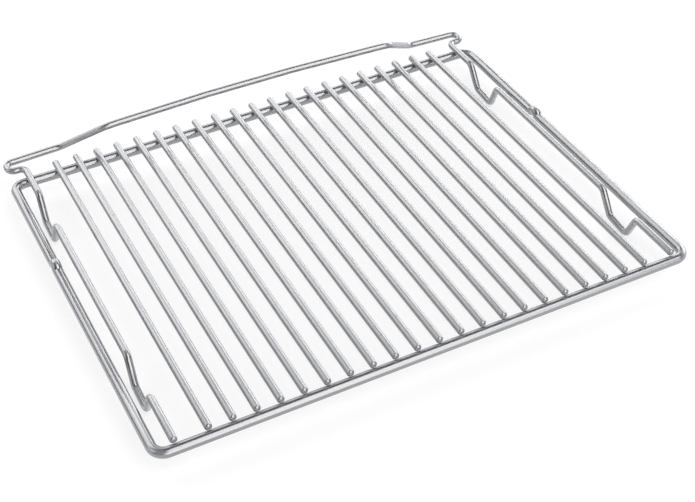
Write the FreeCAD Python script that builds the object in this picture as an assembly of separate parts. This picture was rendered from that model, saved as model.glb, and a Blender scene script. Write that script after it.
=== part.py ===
import FreeCAD, Part
import math
import os

# Oven shelf rack, welded from steel wire and chrome plated.
# X runs across the shelf, Y from its front to its rear, and Z is up.
# The origin is on the floor, under the middle of the shelf's overall width and depth.
# Lengths are in millimetres and angles in degrees. Wires are placed by their centre lines.

# Wire diameters
ring_wire = 8.6
fence_wire = 6.0
bar_wire = 6.0

# How far a welded wire is pressed into the rail that it lies on
bar_weld_sink = 0.4
fence_weld_sink = 0.1

# Ring: one wire bent into a rounded rectangle, measured over its outside
ring_width = 465.6
ring_depth = 352.1
ring_corner_radius = 10.0

# Kink: a short upward arch in each side of the ring, to its middle from the rear rail
kink_from_rear = 119.5
kink_height = 3.4
kink_slope = 52.0
kink_bend_radius = 4.2
kink_top = 0.2  # straight stretch on top

# Cross bars: from front to back, evenly spaced between the fence wire's two sides
bar_count = 21
first_bar_gap = 26.2  # from a side of the fence wire to the nearest bar
bar_front_setback = 1.1  # bar's front end, short of the front rail's centre line
bar_rear_reach = 8.0  # bar's rear end, past the rear rail's centre line
end_round = 1.8  # rounding of every cut wire end

# Sides of the fence wire, which lie on the front and rear rails
fence_side_inset = 19.1  # from the ring's outside

# Feet: two dips in each side of the fence wire, each measured from where it starts at the rear
foot_depth = 23.0
foot_rear_slant = 12.8
foot_front_slant = 10.8
foot_length = 47.5
foot_splay = 1.0  # how far the foot's bottom stands outwards
foot_rise_at_knee = 2.2  # rear end of the foot's bottom, above its front end
foot_bend_radius = 6.5
rear_foot_inset = 29.85  # from the rear rail to the start of the rear foot
feet_spacing = 217.5

# Hairpins: the fence wire turns outwards behind the rear rail and back in
hairpin_setback = 11.4  # from the rear rail to the stretch that runs outwards
hairpin_width = 13.0  # between the two stretches
hairpin_inset = 5.3  # from the ring's outside to the hairpin's centre line
hairpin_bend_radius = 6.0

# Fence: the rear stretch of the fence wire, raised between two ramps
fence_slant = 2.55  # how far the low stretches run back between hairpin and ramp
ramp_foot_inset = 56.3  # from the ring's outside
ramp_top_inset = 92.3  # from the ring's outside
fence_rise = 25.35
fence_lean = 25.0  # how far the raised stretch stands forward of the ramps' feet
fence_bow = 4.9  # how far its middle stands back of its ends
bowed_share = 0.9  # share of the raised stretch that is curved
ramp_bend_radius = 12.0

# Places worked out from the sizes
fence_reach = hairpin_setback + hairpin_width + fence_slant  # past the rear rail
overall_depth = ring_depth + fence_reach + (fence_wire - ring_wire) / 2
front_rail_y = (ring_wire - overall_depth) / 2
rear_rail_y = front_rail_y + ring_depth - ring_wire
ring_side_x = (ring_width - ring_wire) / 2
fence_z = foot_depth + fence_wire / 2
ring_z = fence_z + fence_weld_sink - (ring_wire + fence_wire) / 2
bar_z = ring_z - bar_weld_sink + (ring_wire + bar_wire) / 2
wire_front_y = front_rail_y + bar_front_setback
bar_length = rear_rail_y + bar_rear_reach - wire_front_y
fence_side_x = ring_width / 2 - fence_side_inset

SAME_POINT = 1e-6


def bent_path(corners, closed=False):
    """A wire of straight runs joined by tangent arcs. Each corner is a point and its bend radius,
    and the two ends of an open path have radius 0."""
    points = [FreeCAD.Vector(*point) for point, radius in corners]
    stops = []
    for i, (point, radius) in enumerate(corners):
        here = points[i]
        if radius == 0:
            stops.append((here, here, here))
            continue
        back = (points[i - 1] - here).normalize()
        ahead = (points[(i + 1) % len(points)] - here).normalize()
        half_opening = back.getAngle(ahead) / 2
        tangent_length = radius / math.tan(half_opening)
        middle_distance = radius / math.sin(half_opening) - radius
        inwards = (back + ahead).normalize()
        start = here + back * tangent_length
        middle = here + inwards * middle_distance
        end = here + ahead * tangent_length
        stops.append((start, middle, end))
    edges = []
    for i, (start, middle, end) in enumerate(stops):
        if start.distanceToPoint(end) > SAME_POINT:
            edges.append(Part.Arc(start, middle, end).toShape())
        if i + 1 < len(stops) or closed:
            next_start = stops[(i + 1) % len(stops)][0]
            if end.distanceToPoint(next_start) > SAME_POINT:
                edges.append(Part.LineSegment(end, next_start).toShape())
    return Part.Wire(edges)


def swept_wire(path, diameter):
    """A round wire along the path, as one solid."""
    first = path.OrderedEdges[0]
    start = first.valueAt(first.FirstParameter)
    direction = first.tangentAt(first.FirstParameter)
    section = Part.Wire([Part.makeCircle(diameter / 2, start, direction)])
    return path.makePipeShell([section], True, False)


def round_ends(wire_solid, at_y):
    """Rounds the cut ends that face forwards or backwards at the given Y."""
    rims = [edge for edge in wire_solid.Edges
            if len(edge.Vertexes) == 1
            and abs(edge.BoundBox.YMin - at_y) < SAME_POINT
            and abs(edge.BoundBox.YMax - at_y) < SAME_POINT]
    return wire_solid.makeFillet(end_round, rims)


def rails():
    """The straight stretches of the ring's front and rear rails, which the other wires sit on."""
    straight = ring_width - 2 * ring_corner_radius - ring_wire
    across = FreeCAD.Vector(1, 0, 0)
    return [Part.makeCylinder(ring_wire / 2, straight, FreeCAD.Vector(-straight / 2, y, ring_z), across)
            for y in (front_rail_y, rear_rail_y)]


def kink(side):
    """Corners of the arch in one side of the ring, from the rear to the front."""
    middle_y = rear_rail_y - kink_from_rear
    top_half = kink_top / 2 + kink_bend_radius * math.tan(math.radians(kink_slope) / 2)
    base_half = top_half + kink_height / math.tan(math.radians(kink_slope))
    x = side * ring_side_x
    outline = [(base_half, 0), (top_half, kink_height), (-top_half, kink_height), (-base_half, 0)]
    return [((x, middle_y + y, ring_z + z), kink_bend_radius) for y, z in outline]


def frame_ring():
    """The ring, bent from one wire."""
    rear_left = ((-ring_side_x, rear_rail_y, ring_z), ring_corner_radius)
    front_left = ((-ring_side_x, front_rail_y, ring_z), ring_corner_radius)
    front_right = ((ring_side_x, front_rail_y, ring_z), ring_corner_radius)
    rear_right = ((ring_side_x, rear_rail_y, ring_z), ring_corner_radius)
    corners = [rear_left] + kink(-1) + [front_left, front_right] + kink(1)[::-1] + [rear_right]
    return swept_wire(bent_path(corners, closed=True), ring_wire)


def foot(start_y):
    """One foot as corners from its rear to its front: how far outwards, Y and Z. The lowest corner
    is dropped by what its bend takes off, so that the bend itself reaches the foot's depth."""
    knee_y = start_y - foot_rear_slant
    toe_y = start_y - foot_length + foot_front_slant
    fall = math.atan(foot_rise_at_knee / (knee_y - toe_y))
    rise = math.atan(foot_depth / foot_front_slant)
    tangent_length = foot_bend_radius * math.tan((fall + rise) / 2)
    taken_off = tangent_length * math.sin(fall) - foot_bend_radius * (1 - math.cos(fall))
    toe_z = fence_z - foot_depth - taken_off
    return [(0, start_y, fence_z),
            (foot_splay, knee_y, toe_z + foot_rise_at_knee),
            (foot_splay, toe_y, toe_z),
            (0, start_y - foot_length, fence_z)]


def fence_half(side):
    """Corners of one half of the fence wire, from its front end to the top of the ramp."""
    rear_foot_y = rear_rail_y - rear_foot_inset
    feet = (foot(rear_foot_y) + foot(rear_foot_y - feet_spacing))[::-1]
    hairpin_x = ring_width / 2 - hairpin_inset
    outward_y = rear_rail_y + hairpin_setback
    ramp_foot = (ring_width / 2 - ramp_foot_inset, rear_rail_y + fence_reach, fence_z)
    ramp_top = (ring_width / 2 - ramp_top_inset, ramp_foot[1] - fence_lean, fence_z + fence_rise)
    corners = [((fence_side_x, wire_front_y, fence_z), 0)]
    corners += [((fence_side_x + out, y, z), foot_bend_radius) for out, y, z in feet]
    corners += [((fence_side_x, outward_y, fence_z), hairpin_bend_radius),
                ((hairpin_x, outward_y, fence_z), hairpin_bend_radius),
                ((hairpin_x, outward_y + hairpin_width, fence_z), hairpin_bend_radius),
                (ramp_foot, ramp_bend_radius),
                (ramp_top, ramp_bend_radius)]
    return [((side * x, y, z), radius) for (x, y, z), radius in corners]


def fence_wire_solid(seats):
    """The fence wire, bent from one wire, with a flat saddle where it lies on each rail."""
    left = fence_half(-1)
    right = fence_half(1)[::-1]
    top_x, top_y, top_z = right[0][0]
    bow_corner = fence_bow / (1 - bowed_share / 2)
    bow_radius = bowed_share * top_x * top_x / bow_corner
    middle = ((0, top_y + bow_corner, top_z), bow_radius)
    solid = swept_wire(bent_path(left + [middle] + right), fence_wire)
    return round_ends(solid, wire_front_y).cut(seats)


def cross_bar(x, seats):
    """One straight bar, with a saddle where it lies on each rail."""
    start = FreeCAD.Vector(x, wire_front_y, bar_z)
    bar = Part.makeCylinder(bar_wire / 2, bar_length, start, FreeCAD.Vector(0, 1, 0))
    for end_y in (wire_front_y, wire_front_y + bar_length):
        bar = round_ends(bar, end_y)
    return bar.cut(seats)


def export(name, shape):
    """Writes one piece as its own STEP file."""
    solids = shape.Solids
    assert len(solids) == 1 and shape.isValid(), name + " isn't one valid solid"
    solids[0].exportStep("parts/" + name + ".step")


os.makedirs("parts", exist_ok=True)
seats = rails()
export("frame_ring", frame_ring())
export("fence_wire", fence_wire_solid(seats))
first_bar_x = fence_side_x - first_bar_gap
for i in range(bar_count):
    bar_x = first_bar_x * (2 * i / (bar_count - 1) - 1)
    export("cross_bar_%02d" % (i + 1), cross_bar(bar_x, seats))
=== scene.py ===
import math

import bpy
from mathutils import Matrix, Vector


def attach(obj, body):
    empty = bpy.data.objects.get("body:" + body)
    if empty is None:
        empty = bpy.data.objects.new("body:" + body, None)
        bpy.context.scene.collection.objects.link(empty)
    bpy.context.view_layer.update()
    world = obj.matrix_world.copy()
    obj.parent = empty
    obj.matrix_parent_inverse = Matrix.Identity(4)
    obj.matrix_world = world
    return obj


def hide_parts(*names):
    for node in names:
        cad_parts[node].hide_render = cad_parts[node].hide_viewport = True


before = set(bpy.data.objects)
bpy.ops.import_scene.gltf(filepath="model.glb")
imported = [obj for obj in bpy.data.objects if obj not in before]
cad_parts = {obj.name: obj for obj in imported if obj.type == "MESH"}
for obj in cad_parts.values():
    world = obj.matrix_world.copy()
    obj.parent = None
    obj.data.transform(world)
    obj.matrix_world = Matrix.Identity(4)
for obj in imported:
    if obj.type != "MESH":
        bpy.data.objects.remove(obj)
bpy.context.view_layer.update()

# Lengths are in metres and angles in degrees, and wires are placed by their centre lines.

# Camera, solved from the evenly spaced bars
CAMERA_PLACE = (-0.3849, -0.803925, 0.74455)
CAMERA_AZIMUTH = -26.448
CAMERA_ELEVATION = 40.865
CAMERA_ROLL = 0.902
CAMERA_LENS_MM = 70.53
SENSOR_WIDTH_MM = 36.0
IMAGE_WIDTH = 695
PIXEL_OFFSET = 0.5  # the solved picture centre lies half a pixel right of and below the frame's
CLIP_START = 0.01
CLIP_END = 100.0

# Studio. The floor's lit colour and its glow together are white where no shadow falls.
FLOOR_HALF_SIZE = 25.0
FLOOR_COLOUR = (0.3, 0.3, 0.3)
FLOOR_GLOW = 0.71  # seen by the camera and in the metal
FLOOR_ROUGHNESS = 0.9

# Chrome plating: a hazy metal, and over it a clearer reflecting layer
CHROME_DULL = (0.34, 0.346, 0.372)
CHROME_BRIGHT = (0.37, 0.376, 0.402)
CHROME_EDGE_TINT = (0.6, 0.6, 0.6)
CLOUD_SIZE = 0.012  # of the dull and bright patches
HAZE_ROUGHNESS = 0.562
HAZE_ANISOTROPY = 1.0  # spreads the haze along the wire
MIRROR_IOR = 2.4
MIRROR_ROUGHNESS = 0.18
MARK_ALONG = 0.0015  # size of the straightening marks along the wire
MARK_AROUND = 0.012  # and round it
MARK_DEPTH = 0.000002

# Sizes of the rack, the same as in the part's source
RING_WIRE = 0.0086
FENCE_WIRE = 0.006
BAR_WIRE = 0.006
BAR_WELD_SINK = 0.0004
FENCE_WELD_SINK = 0.0001
RING_WIDTH = 0.4656
RING_DEPTH = 0.3521
RING_CORNER = 0.010
KINK_FROM_REAR = 0.1195
KINK_HEIGHT = 0.0034
KINK_SLOPE = 52.0
KINK_BEND = 0.0042
KINK_TOP = 0.0002
BAR_COUNT = 21
FIRST_BAR_GAP = 0.0262
BAR_FRONT_SETBACK = 0.0011
BAR_REAR_REACH = 0.008
END_ROUND = 0.0018
FENCE_SIDE_INSET = 0.0191
FOOT_DEPTH = 0.023
FOOT_REAR_SLANT = 0.0128
FOOT_FRONT_SLANT = 0.0108
FOOT_LENGTH = 0.0475
FOOT_SPLAY = 0.001
FOOT_KNEE_RISE = 0.0022
FOOT_BEND = 0.0065
REAR_FOOT_INSET = 0.02985
FEET_SPACING = 0.2175
HAIRPIN_SETBACK = 0.0114
HAIRPIN_WIDTH = 0.013
HAIRPIN_INSET = 0.0053
HAIRPIN_BEND = 0.006
FENCE_SLANT = 0.00255
RAMP_FOOT_INSET = 0.0563
RAMP_TOP_INSET = 0.0923
FENCE_RISE = 0.02535
FENCE_LEAN = 0.025
FENCE_BOW = 0.0049
BOWED_SHARE = 0.9
RAMP_BEND = 0.012

# Places worked out from the sizes
FENCE_REACH = HAIRPIN_SETBACK + HAIRPIN_WIDTH + FENCE_SLANT
FRONT_RAIL_Y = (RING_WIRE - RING_DEPTH - FENCE_REACH - (FENCE_WIRE - RING_WIRE) / 2) / 2
REAR_RAIL_Y = FRONT_RAIL_Y + RING_DEPTH - RING_WIRE
RING_SIDE_X = (RING_WIDTH - RING_WIRE) / 2
FENCE_Z = FOOT_DEPTH + FENCE_WIRE / 2
RING_Z = FENCE_Z + FENCE_WELD_SINK - (RING_WIRE + FENCE_WIRE) / 2
BAR_Z = RING_Z - BAR_WELD_SINK + (RING_WIRE + BAR_WIRE) / 2
WIRE_FRONT_Y = FRONT_RAIL_Y + BAR_FRONT_SETBACK
BAR_REAR_Y = REAR_RAIL_Y + BAR_REAR_REACH
FENCE_SIDE_X = RING_WIDTH / 2 - FENCE_SIDE_INSET

# Fineness of the drawn wires
SIDES = 48
ARC_STEP = 6.0  # largest turn between two sections of a bend
MIN_ARC_STEPS = 3
END_STEPS = 6


def direction(azimuth, elevation):
    """The unit vector towards an azimuth, where 0 is the rear and 90 the right, and an elevation."""
    a, e = math.radians(azimuth), math.radians(elevation)
    return Vector((math.sin(a) * math.cos(e), math.cos(a) * math.cos(e), math.sin(e)))


def make_camera():
    """The camera at the photograph's place, angle and lens."""
    forward = -direction(180 - CAMERA_AZIMUTH, CAMERA_ELEVATION)
    right = forward.cross(Vector((0, 0, 1))).normalized()
    up = right.cross(forward)
    axes = Matrix((right, up, -forward)).transposed()
    roll = Matrix.Rotation(math.radians(-CAMERA_ROLL), 3, "Z")
    data = bpy.data.cameras.new("photo_camera")
    data.lens = CAMERA_LENS_MM
    data.sensor_width = SENSOR_WIDTH_MM
    data.shift_x = -PIXEL_OFFSET / IMAGE_WIDTH
    data.shift_y = PIXEL_OFFSET / IMAGE_WIDTH
    data.clip_start, data.clip_end = CLIP_START, CLIP_END
    camera = bpy.data.objects.new("photo_camera", data)
    camera.matrix_world = Matrix.Translation(CAMERA_PLACE) @ (axes @ roll).to_4x4()
    bpy.context.collection.objects.link(camera)
    bpy.context.scene.camera = camera


def soft_step(tree, value, start, stop, height):
    """A level that rises smoothly from 0 to the height as the value goes from start to stop."""
    step = tree.nodes.new("ShaderNodeMapRange")
    step.interpolation_type = "SMOOTHSTEP"
    step.inputs["From Min"].default_value = start
    step.inputs["From Max"].default_value = stop
    step.inputs["To Max"].default_value = height
    tree.links.new(value, step.inputs["Value"])
    return step.outputs["Result"]


def soft_box(tree, place, azimuth, elevation, inner, outer, strength):
    """A round light in the sky, even within its inner angle and fading out at its outer one."""
    facing = tree.nodes.new("ShaderNodeVectorMath")
    facing.operation = "DOT_PRODUCT"
    facing.inputs[1].default_value = direction(azimuth, elevation)
    tree.links.new(place, facing.inputs[0])
    outer_edge = math.cos(math.radians(outer))
    inner_edge = math.cos(math.radians(inner))
    return soft_step(tree, facing.outputs["Value"], outer_edge, inner_edge, strength)


def make_sky():
    """A dark studio with five soft boxes round the rack."""
    world = bpy.data.worlds.new("studio")
    bpy.context.scene.world = world
    bpy.context.scene.view_settings.view_transform = "Standard"
    world.use_nodes = True
    tree = world.node_tree
    place = tree.nodes.new("ShaderNodeTexCoord").outputs["Generated"]
    # Azimuth, elevation, inner and outer angle, and strength of each
    lights = [
        soft_box(tree, place, 171, 19, 5, 37, 3.5),  # under the camera
        soft_box(tree, place, -16, 32, 4, 36, 3.1),  # behind the rack
        soft_box(tree, place, 56, 3, 3, 49, 3.9),  # low on the right
        soft_box(tree, place, 142, 56, 5, 28, 3.6),  # over the camera's right shoulder
        soft_box(tree, place, -76, 24, 4, 35, 1.5),  # left
    ]
    level = lights[0]
    for light in lights[1:]:
        total = tree.nodes.new("ShaderNodeMath")
        total.operation = "ADD"
        tree.links.new(level, total.inputs[0])
        tree.links.new(light, total.inputs[1])
        level = total.outputs[0]
    background = tree.nodes["Background"]
    background.inputs["Color"].default_value = (1, 1, 1, 1)
    tree.links.new(level, background.inputs["Strength"])


def make_floor():
    """A plain white floor under the feet, which keeps the rack's soft shadow."""
    half = FLOOR_HALF_SIZE
    corners = [(-half, -half, 0), (half, -half, 0), (half, half, 0), (-half, half, 0)]
    mesh = bpy.data.meshes.new("floor")
    mesh.from_pydata(corners, [], [(0, 1, 2, 3)])
    floor = bpy.data.objects.new("floor", mesh)
    bpy.context.collection.objects.link(floor)
    material = bpy.data.materials.new("floor")
    material.use_nodes = True
    tree = material.node_tree
    shader = tree.nodes["Principled BSDF"]
    shader.inputs["Base Color"].default_value = (*FLOOR_COLOUR, 1)
    shader.inputs["Roughness"].default_value = FLOOR_ROUGHNESS
    shader.inputs["Specular IOR Level"].default_value = 0.0
    shader.inputs["Emission Color"].default_value = (1, 1, 1, 1)
    path = tree.nodes.new("ShaderNodeLightPath")
    seen = tree.nodes.new("ShaderNodeMath")
    seen.operation = "MAXIMUM"
    tree.links.new(path.outputs["Is Camera Ray"], seen.inputs[0])
    tree.links.new(path.outputs["Is Glossy Ray"], seen.inputs[1])
    glow = tree.nodes.new("ShaderNodeMath")
    glow.operation = "MULTIPLY"
    glow.inputs[1].default_value = FLOOR_GLOW
    tree.links.new(seen.outputs[0], glow.inputs[0])
    tree.links.new(glow.outputs[0], shader.inputs["Emission Strength"])
    mesh.materials.append(material)


def noise(tree, place, scale):
    """A soft noise over the wire's surface, with its own scale along and round the wire."""
    stretch = tree.nodes.new("ShaderNodeVectorMath")
    stretch.operation = "MULTIPLY"
    stretch.inputs[1].default_value = scale
    tree.links.new(place, stretch.inputs[0])
    texture = tree.nodes.new("ShaderNodeTexNoise")
    texture.inputs["Scale"].default_value = 1.0
    tree.links.new(stretch.outputs["Vector"], texture.inputs["Vector"])
    return texture.outputs["Fac"]


def chrome_material():
    """Chrome plating on straightened wire: fine marks round the wire spread reflections along it."""
    material = bpy.data.materials.new("chrome_plate")
    material.use_nodes = True
    tree = material.node_tree
    shader = tree.nodes["Principled BSDF"]
    shader.inputs["Metallic"].default_value = 1.0
    shader.inputs["Specular Tint"].default_value = (*CHROME_EDGE_TINT, 1)
    shader.inputs["Roughness"].default_value = HAZE_ROUGHNESS
    shader.inputs["Anisotropic"].default_value = HAZE_ANISOTROPY
    shader.inputs["Coat Weight"].default_value = 1.0
    shader.inputs["Coat Roughness"].default_value = MIRROR_ROUGHNESS
    shader.inputs["Coat IOR"].default_value = MIRROR_IOR
    tangent = tree.nodes.new("ShaderNodeTangent")
    tangent.direction_type = "UV_MAP"
    tangent.uv_map = "along"
    tree.links.new(tangent.outputs[0], shader.inputs["Tangent"])
    along = tree.nodes.new("ShaderNodeUVMap")
    along.uv_map = "along"
    cloud = noise(tree, along.outputs["UV"], (1 / CLOUD_SIZE, 1 / CLOUD_SIZE, 1))
    plating = tree.nodes.new("ShaderNodeMix")
    plating.data_type = "RGBA"
    plating.inputs["A"].default_value = (*CHROME_DULL, 1)
    plating.inputs["B"].default_value = (*CHROME_BRIGHT, 1)
    tree.links.new(cloud, plating.inputs["Factor"])
    tree.links.new(plating.outputs["Result"], shader.inputs["Base Color"])
    marks = noise(tree, along.outputs["UV"], (1 / MARK_ALONG, 1 / MARK_AROUND, 1))
    bump = tree.nodes.new("ShaderNodeBump")
    bump.inputs["Distance"].default_value = MARK_DEPTH
    tree.links.new(marks, bump.inputs["Height"])
    tree.links.new(bump.outputs["Normal"], shader.inputs["Normal"])
    return material


def bent_path(corners, closed=False):
    """Points along straight runs joined by tangent arcs. Each corner is a point and its bend radius."""
    points = [Vector(point) for point, radius in corners]
    path = []
    for i, (point, radius) in enumerate(corners):
        here = points[i]
        if radius == 0:
            path.append(here)
            continue
        back = (points[i - 1] - here).normalized()
        ahead = (points[(i + 1) % len(points)] - here).normalized()
        opening = back.angle(ahead)
        centre = here + (back + ahead).normalized() * radius / math.sin(opening / 2)
        start = here + back * radius / math.tan(opening / 2)
        turn = math.pi - opening
        axis = back.cross(ahead).normalized()
        steps = max(MIN_ARC_STEPS, math.ceil(math.degrees(turn) / ARC_STEP))
        for k in range(steps + 1):
            spin = Matrix.Rotation(-turn * k / steps, 3, axis)
            path.append(centre + spin @ (start - centre))
    return path


def rounded_end(section, inwards, rounding):
    """The sections of a rounded end, from its flat face inwards."""
    centre, along, side, radius, run = section
    sections = []
    for k in range(END_STEPS + 1):
        angle = math.pi / 2 * k / END_STEPS
        depth = inwards * rounding * (1 - math.cos(angle))
        size = radius - rounding * (1 - math.sin(angle))
        sections.append((centre + along * depth, along, side, size, run + depth))
    return sections


def tube(name, path, diameter, closed=False, rounding=0.0):
    """A round wire along the path as a mesh, whose U runs along the wire."""
    count = len(path)
    radius = diameter / 2
    last = count - 1
    if closed:
        tangents = [(path[(i + 1) % count] - path[i - 1]).normalized() for i in range(count)]
    else:
        tangents = [(path[min(i + 1, last)] - path[max(i - 1, 0)]).normalized() for i in range(count)]
    side = tangents[0].cross(Vector((0, 0, 1))).normalized()
    sections = []
    run = 0.0
    for i in range(count):
        if i:
            side = tangents[i - 1].rotation_difference(tangents[i]) @ side
            side = (side - tangents[i] * side.dot(tangents[i])).normalized()
            run += (path[i] - path[i - 1]).length
        sections.append((path[i], tangents[i], side.copy(), radius, run))
    if rounding:
        front = rounded_end(sections[0], 1, rounding)
        rear = rounded_end(sections[-1], -1, rounding)
        sections = front + sections[1:-1] + rear[::-1]
    vertices = []
    for centre, along, side, size, run in sections:
        up = along.cross(side)
        for k in range(SIDES):
            a = math.tau * k / SIDES
            vertices.append(centre + side * size * math.cos(a) + up * size * math.sin(a))
    faces = []
    uvs = []
    total = len(sections)
    for i in range(total if closed else total - 1):
        j = (i + 1) % total
        centre, along, side, size, start = sections[i]
        stop = start + (sections[j][0] - centre).length
        for k in range(SIDES):
            m = (k + 1) % SIDES
            faces.append((i * SIDES + k, i * SIDES + m, j * SIDES + m, j * SIDES + k))
            low = math.tau * radius * k / SIDES
            high = math.tau * radius * (k + 1) / SIDES
            uvs += [(start, low), (start, high), (stop, high), (stop, low)]
    if not closed:
        faces.append(tuple(reversed(range(SIDES))))
        faces.append(tuple(range((total - 1) * SIDES, total * SIDES)))
        uvs += [(vertices[v].x, vertices[v].z) for face in faces[-2:] for v in face]
    mesh = bpy.data.meshes.new(name)
    mesh.from_pydata([tuple(v) for v in vertices], [], faces)
    layer = mesh.uv_layers.new(name="along")
    for loop, uv in zip(layer.data, uvs):
        loop.uv = uv
    mesh.shade_smooth()
    mesh.materials.append(chrome)
    wire = bpy.data.objects.new(name, mesh)
    bpy.context.collection.objects.link(wire)
    return wire


def kink(side):
    """Corners of the arch in one side of the ring, from the rear to the front."""
    middle_y = REAR_RAIL_Y - KINK_FROM_REAR
    top_half = KINK_TOP / 2 + KINK_BEND * math.tan(math.radians(KINK_SLOPE) / 2)
    base_half = top_half + KINK_HEIGHT / math.tan(math.radians(KINK_SLOPE))
    x = side * RING_SIDE_X
    outline = [(base_half, 0), (top_half, KINK_HEIGHT), (-top_half, KINK_HEIGHT), (-base_half, 0)]
    return [((x, middle_y + y, RING_Z + z), KINK_BEND) for y, z in outline]


def ring_corners():
    """Corners of the ring, from its rear left one."""
    rear_left = ((-RING_SIDE_X, REAR_RAIL_Y, RING_Z), RING_CORNER)
    front_left = ((-RING_SIDE_X, FRONT_RAIL_Y, RING_Z), RING_CORNER)
    front_right = ((RING_SIDE_X, FRONT_RAIL_Y, RING_Z), RING_CORNER)
    rear_right = ((RING_SIDE_X, REAR_RAIL_Y, RING_Z), RING_CORNER)
    return [rear_left] + kink(-1) + [front_left, front_right] + kink(1)[::-1] + [rear_right]


def foot(start_y):
    """Corners of one foot from its rear to its front: how far outwards, Y and Z."""
    knee_y = start_y - FOOT_REAR_SLANT
    toe_y = start_y - FOOT_LENGTH + FOOT_FRONT_SLANT
    fall = math.atan(FOOT_KNEE_RISE / (knee_y - toe_y))
    rise = math.atan(FOOT_DEPTH / FOOT_FRONT_SLANT)
    tangent_length = FOOT_BEND * math.tan((fall + rise) / 2)
    taken_off = tangent_length * math.sin(fall) - FOOT_BEND * (1 - math.cos(fall))
    toe_z = FENCE_Z - FOOT_DEPTH - taken_off
    return [(0, start_y, FENCE_Z),
            (FOOT_SPLAY, knee_y, toe_z + FOOT_KNEE_RISE),
            (FOOT_SPLAY, toe_y, toe_z),
            (0, start_y - FOOT_LENGTH, FENCE_Z)]


def fence_half(side):
    """Corners of one half of the fence wire, from its front end to the top of the ramp."""
    rear_foot_y = REAR_RAIL_Y - REAR_FOOT_INSET
    feet = (foot(rear_foot_y) + foot(rear_foot_y - FEET_SPACING))[::-1]
    hairpin_x = RING_WIDTH / 2 - HAIRPIN_INSET
    outward_y = REAR_RAIL_Y + HAIRPIN_SETBACK
    ramp_foot = (RING_WIDTH / 2 - RAMP_FOOT_INSET, REAR_RAIL_Y + FENCE_REACH, FENCE_Z)
    ramp_top = (RING_WIDTH / 2 - RAMP_TOP_INSET, ramp_foot[1] - FENCE_LEAN, FENCE_Z + FENCE_RISE)
    corners = [((FENCE_SIDE_X, WIRE_FRONT_Y, FENCE_Z), 0)]
    corners += [((FENCE_SIDE_X + out, y, z), FOOT_BEND) for out, y, z in feet]
    corners += [((FENCE_SIDE_X, outward_y, FENCE_Z), HAIRPIN_BEND),
                ((hairpin_x, outward_y, FENCE_Z), HAIRPIN_BEND),
                ((hairpin_x, outward_y + HAIRPIN_WIDTH, FENCE_Z), HAIRPIN_BEND),
                (ramp_foot, RAMP_BEND),
                (ramp_top, RAMP_BEND)]
    return [((side * x, y, z), radius) for (x, y, z), radius in corners]


def fence_corners():
    """Corners of the whole fence wire, from its left front end to its right one."""
    left = fence_half(-1)
    right = fence_half(1)[::-1]
    top_x, top_y, top_z = right[0][0]
    bow_corner = FENCE_BOW / (1 - BOWED_SHARE / 2)
    bow_radius = BOWED_SHARE * top_x * top_x / bow_corner
    return left + [((0, top_y + bow_corner, top_z), bow_radius)] + right


make_camera()
make_sky()
make_floor()
chrome = chrome_material()
ring = tube("ring", bent_path(ring_corners(), closed=True), RING_WIRE, closed=True)
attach(ring, "root")
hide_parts("frame_ring")
fence = tube("fence", bent_path(fence_corners()), FENCE_WIRE, rounding=END_ROUND)
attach(fence, "root")
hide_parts("fence_wire")
first_bar_x = FENCE_SIDE_X - FIRST_BAR_GAP
for i in range(BAR_COUNT):
    x = first_bar_x * (2 * i / (BAR_COUNT - 1) - 1)
    ends = [Vector((x, y, BAR_Z)) for y in (WIRE_FRONT_Y, BAR_REAR_Y)]
    bar = tube("bar_%02d" % (i + 1), ends, BAR_WIRE, rounding=END_ROUND)
    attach(bar, "root")
    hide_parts("cross_bar_%02d" % (i + 1))
